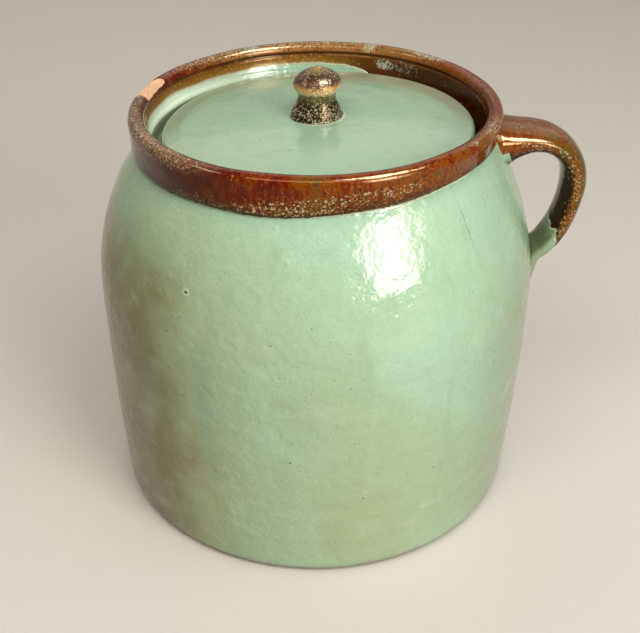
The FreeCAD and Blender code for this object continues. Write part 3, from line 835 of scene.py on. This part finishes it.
def green_glaze(shader):
    """Pale celadon green, mottled and speckled, with painted shade and warm reflection on its sides and
    lower down. Returns its colour and its height in millimetres.
    """
    x, y, z = shader.axes()
    broad = shader.noise(85, 2, 0.5, seed=3)
    clouds = shader.noise(22, 4, 0.6, seed=9, distortion=0.4)
    mottle = shader.noise(6.5, 3, 0.6, seed=15)
    grain = shader.noise(1.7, 3, 0.7, seed=21)
    runs = shader.noise(13, 3, 0.55, seed=31, place=shader.scaled(shader.place, (1, 1, 0.22)))
    # Warmer lower down and on the left, cooler on the right: partly the glaze's own tone, partly painted
    # warm reflection.
    warm_tone_and_reflection = shader.between(z, 200, 20, -0.12, 0.50) + shader.between(broad, 0.35, 0.65, -0.2, 0.3)
    warm_tone_and_reflection = warm_tone_and_reflection + shader.between(x, 20, 110, 0.0, -0.25) + shader.between(x, 0, -105, 0.0, 0.6)
    # Painted shade and warm reflection: dark olive low on the body's left, most at the front, and fainter at
    # its far right.
    left_shade_and_reflection = shader.between(shader.sway(30, 70, seed=35) - x, 50, 108) * shader.between(z, 200, 150)
    left_shade_and_reflection = left_shade_and_reflection * shader.between(y, 40, -25, 0.2, 0.92)
    right_painted_shade = shader.between(x, 70, 122) * shader.between(z, 190, 130)
    large, small = shader.specks(7.5, 1.3, 0.35, seed=5), shader.specks(3.1, 0.7, 0.3, seed=11)
    pinholes = shader.specks(4.2, 1.1, 0.4, seed=17)
    colour = shader.layers(
        GREEN_COOL,
        (shader.between(warm_tone_and_reflection, 0, 0.4), GREEN_MAIN),
        (shader.between(warm_tone_and_reflection, 0.35, 1.0), GREEN_WARM),
        (left_shade_and_reflection, OLIVE_SHADE_AND_REFLECTION),
        # Painted shade: darker towards the right.
        (shader.between(x, 45, 105, 0.0, 0.38), GREEN_DEEP),
        (right_painted_shade * 0.45, OLIVE_SHADE_AND_REFLECTION),
        (shader.between(clouds, 0.5, 0.75, 0, 0.3), GREEN_PALE),
        (shader.between(runs, 0.54, 0.78, 0, 0.3), GREEN_DEEP),
        (shader.between(mottle, 0.3, 0.7, 0.0, 0.12), GREEN_DEEP),
        (shader.between(grain, 0.35, 0.75, 0.0, 0.22), GREEN_DEEP),
        (shader.between(grain, 0.4, 0.2, 0.0, 0.25), GREEN_PALE),
        (shader.math("MAXIMUM", large, small) * 0.7, IRON_SPECK),
        (pinholes * 0.35, GREEN_PALE))
    height = shader.noise(11, 1, 0.5, seed=41) * 0.6 + shader.noise(3.8, 2, 0.6, seed=43) * 0.36
    return colour, height + grain * 0.06 - pinholes * 0.03


# Marks on the jar's wall: direction in degrees, height, half width and half height.
DARK_RUN = (-117.3, 108, 7.5, 66)
DARK_POOL = (-115.8, 62, 4.5, 9)
PIT_RING = (-123.3, 166.5, 3.4, 3.0)
PIT = (-123.2, 166.7, 1.4, 1.2)
BEADS = ((-129, 172, 2.6, 2.6), (-132, 161, 3.2, 3.2), (-126, 153, 2.2, 2.2), (-97, 188, 1.8, 1.8),
         (-101, 201, 1.6, 1.6))
HAIRLINE = (-45.6, 193, 0.38, 21)
HAIRLINE_SLANT = 0.10
HAIRLINE_PIVOT = 192       # the height at which the slanting crack crosses its direction


def wall_marks(shader, colour, height):
    """The jar's own marks: a dark run and its pool, a ringed pit, beads and a hairline crack."""
    run = shader.spot(*DARK_RUN, waver=shader.sway(30, 9, seed=81, detail=2, roughness=0.5))
    ring, pit = shader.spot(*PIT_RING), shader.spot(*PIT)
    slant = (shader.axes()[2] - HAIRLINE_PIVOT) * HAIRLINE_SLANT
    crack = shader.spot(*HAIRLINE, waver=slant + shader.sway(2.5, 1.2, seed=83, detail=2))
    colour = shader.layers(
        colour,
        (run * 0.5, GREEN_BLUE),
        (shader.spot(*DARK_POOL) * 0.35, GREEN_DEEP),
        (ring * 0.6, GREEN_PALE),
        (pit, IRON_SPECK),
        (crack * 0.75, CRACK))
    height = height + ring * 0.35 - pit * 0.7
    for bead in BEADS:
        height = height + shader.spot(*bead) * 0.22
    return colour, height - crack * 0.15


def brown_glaze(shader, depth):
    """Iron glaze: rust and amber where it is thick, streaked downwards, dark olive at its lower edge and
    scattered with pale crystals. depth is the way in from its lower edge. Returns colour and height."""
    x, y, z = shader.axes()
    streaks = shader.noise(2.2, 4, 0.65, seed=2, place=shader.scaled(shader.place, (1, 1, 0.2)))
    tone = streaks * 0.55 + shader.noise(16, 3, 0.6, seed=13) * 0.45
    tone = tone + shader.between(x, -85, 40, -0.09, 0.05) + shader.between(x, 95, 150, 0.0, 0.10)
    # Lighter and more amber towards the back, most on the top of the rim there: painted sheen.
    tone = tone + shader.between(y, 20, 75, 0.0, 0.05)
    rim_top_sheen = shader.between(y, 45, 85) * shader.between(z, 218, 224)
    ragged = shader.between(shader.noise(7, 3, 0.6, seed=27), 0.25, 0.6, 0.5, 1.0)
    low = shader.between(depth, 8.0, 1.0) * ragged
    inside, dark_glaze_and_shade, ash, crystal = [shader.field(name) for name in ("inside", "dark_glaze_and_shade", "ash", "crystal")]
    fine = shader.axes(shader.cells(0.8, seed=7)["Color"])
    cluster = shader.noise(12, 3, 0.65, seed=23)
    gather = low * 0.20 + crystal * 0.30 + shader.between(cluster, 0.42, 0.7, 0.0, 0.20)
    gather = gather + ash * 0.25 - dark_glaze_and_shade * 0.35 + inside * 0.1
    gold = shader.between(fine[0] + gather, 0.98, 1.10)
    black = shader.between(fine[1] + gather * 0.7, 0.86, 1.0) * shader.between(inside, 0.2, 0.8, 0.75, 0.3)
    pale = shader.between(fine[2] + crystal * 0.10 + ash * 0.22, 0.97, 1.05)
    large = shader.specks(1.5, 1.25, 0.85, seed=19) * shader.between(crystal, 0.3, 0.8)
    blot = shader.field("fleck") + shader.sway(2, 2.2, seed=29, detail=4, roughness=0.8)
    grit = shader.noise(0.8, 2, 0.6, seed=33) * 1.5 + fine[1] * 0.7
    colour = shader.layers(
        shader.ramp(tone, [(0.34, RUST_DARK), (0.46, RUST_RED), (0.57, AMBER), (0.70, OLIVE)]),
        (low * 0.85, OLIVE_BLACK),
        (inside * 0.85, OLIVE_GOLD),
        (rim_top_sheen * 0.55, AMBER_PAINTED_SHEEN),
        # Dark patches of glaze, and painted shade deep in the mouth and on the strap's side towards the jar.
        (dark_glaze_and_shade * 0.8, RUST_BLACK),
        (ash * 0.5, ASH),
        (gold * 0.5, GOLD),
        (black, OLIVE_BLACK),
        (pale * 0.55, CREAM),
        (large * 0.8, CREAM),
        (shader.between(blot, 0.3, 0.8) * shader.between(grit, 0.85, 1.2, 0.0, 0.95), FLECK))
    height = shader.noise(5, 2, 0.5, seed=45) * 0.22 + streaks * 0.05
    return colour, height + shader.math("MAXIMUM", large, gold) * 0.02


def knob_glaze(shader):
    """The knob's glaze in bands: speckled black base, olive waist, gold ring, plum cap and a gold tip."""
    level = shader.field("level") + shader.sway(4, 3.0, seed=3)
    bands = [(0.00, OLIVE_BLACK), (0.30, OLIVE_BLACK), (0.42, KNOB_OLIVE), (0.50, KNOB_MOSS),
             (0.58, KNOB_RING), (0.66, KNOB_AMBER), (0.74, PLUM), (0.89, PLUM), (0.97, KNOB_TIP)]
    fine = shader.axes(shader.cells(0.65, seed=7)["Color"])
    base = shader.between(level, 9, 5)
    ring = shader.between(level, 13, 15.0) * shader.between(level, 18.5, 17.0)
    pale = shader.between(fine[0] + base * 0.10 + ring * 0.30, 0.78, 0.9)
    large = shader.specks(1.05, 0.85, 0.8, seed=19) * shader.between(base, 0.2, 0.8, 0.1, 1.0)
    colour = shader.layers(
        shader.ramp(level * (1 / KNOB_HEIGHT), bands),
        (pale * 0.5, CREAM),
        (large * 0.8, CREAM),
        (shader.between(fine[1], 0.72, 0.8) * 0.55, OLIVE_BLACK))
    return colour, shader.noise(3.0, 3, 0.6, seed=45) * 0.45 + large * 0.05


def jar_green(shader):
    """The green glaze on the jar, with painted light on the lit wall inside the mouth, where it is also
    smoother.
    """
    colour, height = wall_marks(shader, *green_glaze(shader))
    lit_wall_painted_light = shader.field("lit_wall_painted_light")
    return shader.mix(lit_wall_painted_light * 0.9, colour, GREEN_PAINTED_LIGHT), height * shader.between(lit_wall_painted_light, 0, 1, 1.0, 0.3)


def lid_green(shader):
    """The green glaze on the lid: deeper and smoother, with painted shade and reflection along its edge at
    the back.
    """
    colour, height = green_glaze(shader)
    colour = shader.layers(
        colour,
        (0.32, GREEN_DEEP),
        (shader.field("painted_warm_edge") * 0.5, GREEN_PAINTED_WARM),
        (shader.field("painted_olive_edge") * 0.4, GREEN_PAINTED_OLIVE))
    return colour, height * 0.3


def bare_clay(shader, colour, roughness, height):
    """Unglazed clay under the foot and in the chip."""
    foot = shader.between(shader.axes()[2] + shader.noise(6, 3, 0.6, seed=91) * 2.0, 2.6, 1.7)
    broken = shader.between(shader.field("chip") + shader.sway(1.6, 0.3, seed=71), 0.02, 0.16)
    grain = shader.noise(1.4, 4, 0.7, seed=73)
    clay = shader.mix(shader.between(grain, 0.3, 0.7), CLAY, CLAY_PALE)
    colour = shader.layers(colour, (foot, BARE_FOOT), (broken, clay))
    return colour, roughness + shader.math("MAXIMUM", broken, foot) * 0.7, height + grain * broken * 0.5


def ware_material(name, on_jar):
    """Glossy glazed ware: green, then brown where the brown field is positive, and a line between them."""
    shader = Shader(name)
    green, green_height = jar_green(shader) if on_jar else lid_green(shader)
    edge = shader.field("brown") + shader.sway(4, 1.8 if on_jar else 1.0, seed=51, roughness=0.65)
    brown, brown_height = brown_glaze(shader, edge) if on_jar else knob_glaze(shader)
    pooled = shader.between(edge, -7, -1.2) * shader.between(edge, 0, -1.0)
    line_here = shader.between(edge, -1.1, -0.6) * shader.between(edge, 0.1, -0.25)
    line_here = line_here * shader.between(shader.axes()[0], -50, 40, 0.15, 0.75)
    mask_start, mask_end = -0.2, 0.25
    if on_jar:
        fade = shader.field("inside")
        mask_start, mask_end = fade * -2.2 + mask_start, fade + mask_end
    mask = shader.between(edge, mask_start, mask_end)
    colour = shader.layers(
        green,
        # Painted shade: in the gap round the lid, on the lid's side and on the strap's side towards the jar.
        (shader.field("shade") * 0.85, GREEN_PAINTED_SHADE),
        (pooled * 0.4, GREEN_BLUE),
        (mask, brown),
        (line_here, GREEN_LINE))
    height = green_height * shader.math("SUBTRACT", 1.0, mask) + (brown_height + 0.08) * mask
    height = height + line_here * 0.05
    roughness = shader.between(shader.noise(9, 3, 0.6, seed=61), 0.3, 0.7, 0.05, 0.14)
    if on_jar:
        colour, roughness, height = bare_clay(shader, colour, roughness, height)
    mirrored = shader.mix(mask, MIRRORED_IN_GREEN, MIRRORED_IN_BROWN)
    shader.surface("BsdfPrincipled", Base_Color=colour, Roughness=roughness, Normal=shader.bump(height),
                   IOR=GLAZE_IOR, Specular_Tint=mirrored)
    return shader.owner


# ------------ the stage
# SEEN is the colour that is looked at, LIT the one whose light falls on the jar.
FLOOR_SEEN = (0.60, 0.54, 0.46)
FLOOR_LIT = (0.19, 0.14, 0.09)
ROOM_SEEN = (0.36, 0.345, 0.32)
ROOM_LIT = (0.150, 0.144, 0.132)
FLOOR_RADIUS = 2.4
WARM_LIGHT = (1.0, 0.985, 0.96)
COOL_LIGHT = (0.70, 0.87, 1.0)
LAMP_TARGET = Vector((0, 0, 0.17))
CAMERA_PLACE = (0, -0.5438, 0.4402)
CAMERA_DROP = 32.435       # degrees that it looks down
CAMERA_LENS = 61.875
CAMERA_SHIFT = (0.0073, -0.0047)


def seen_rays(shader):
    """1 where the floor or the room is looked at, straight, in a gloss or through glass, and 0 where it
    only sheds light."""
    path = shader.node("LightPath").outputs
    seen = shader.math("MAXIMUM", path["Is Camera Ray"], path["Is Glossy Ray"])
    return shader.math("MAXIMUM", seen, path["Is Transmission Ray"])


def make_floor():
    """A pale disc under the jar, which sheds less light than it shows."""
    bpy.ops.mesh.primitive_circle_add(vertices=96, radius=FLOOR_RADIUS, fill_type="NGON")
    floor = bpy.context.object
    floor.name = "floor"
    shader = Shader("floor")
    shade = shader.mix(seen_rays(shader), FLOOR_LIT, FLOOR_SEEN)
    shader.surface("BsdfPrincipled", Base_Color=shade, Roughness=0.7)
    floor.data.materials.append(shader.owner)


def make_room():
    """A pale room all round, which also sheds less light than it shows."""
    room = bpy.data.worlds.new("room")
    bpy.context.scene.world = room
    shader = Shader("room", room)
    shader.surface("Background", Color=shader.mix(seen_rays(shader), ROOM_LIT, ROOM_SEEN))


def make_lamps():
    """A window and the sky above it, brighter in a gloss, and soft lights from the side and behind."""
    add_lamp("window", WARM_LIGHT, (-51, 19, 1.5), (0.80, 0.76), radiance=8.6)
    add_lamp("sky", WARM_LIGHT, (-90, 58, 2.0), (2.4, 0.6), radiance=7.3)
    add_lamp("glare", COOL_LIGHT, (-52, 19, 1.5), (0.40, 0.64), radiance=32, only="glossy")
    add_lamp("skylight", COOL_LIGHT, (-32, 62, 2.0), (0.9, 0.9), radiance=70, only="glossy")
    add_lamp("side", COOL_LIGHT, (-172, 46, 2.0), (0.5, 0.3), radiance=18, only="glossy")
    add_lamp("sheen", WARM_LIGHT, (90, 44, 2.0), (3.4, 1.3), radiance=0.8, only="glossy")
    add_lamp("fill", WARM_LIGHT, (118, 48, 2.0), (2.0, 1.0), radiance=1.7, only="diffuse")


def add_lamp(name, colour, place, size, radiance, only=""):
    """A rectangular lamp turned to the middle of the jar, with a given brightness of its face. place is
    its direction round and up, in degrees, and its distance. only limits it to one kind of reflection."""
    azimuth, elevation, distance = place
    across, up = math.radians(azimuth), math.radians(elevation)
    way = Vector((math.cos(across) * math.cos(up), math.sin(across) * math.cos(up), math.sin(up)))
    lamp = bpy.data.lights.new(name, "AREA")
    lamp.shape = "RECTANGLE"
    lamp.size, lamp.size_y = size
    lamp.energy = radiance * math.pi * size[0] * size[1]
    lamp.color = colour
    holder = bpy.data.objects.new(name, lamp)
    holder.location = LAMP_TARGET + way * distance
    holder.rotation_euler = (-way).to_track_quat("-Z", "Y").to_euler()
    holder.visible_diffuse = only != "glossy"
    holder.visible_glossy = only != "diffuse"
    bpy.context.scene.collection.objects.link(holder)


def make_camera():
    """The photographer's view: a little above the jar, looking down at it from the front."""
    camera = bpy.data.cameras.new("camera")
    camera.sensor_width = 36
    camera.lens = CAMERA_LENS
    camera.shift_x, camera.shift_y = CAMERA_SHIFT
    holder = bpy.data.objects.new("camera", camera)
    holder.location = CAMERA_PLACE
    holder.rotation_euler = (math.radians(90 - CAMERA_DROP), 0, 0)
    bpy.context.scene.collection.objects.link(holder)
    bpy.context.scene.camera = holder


make_camera()
make_floor()
make_room()
make_lamps()

jar = make_jar()
jar.data.materials.append(ware_material("jar_glaze", on_jar=True))
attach(jar, "root")
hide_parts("jar")

lid = make_lid()
lid.data.materials.append(ware_material("lid_glaze", on_jar=False))
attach(lid, "root")
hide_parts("lid")

bpy.context.scene.view_settings.view_transform = "Standard"
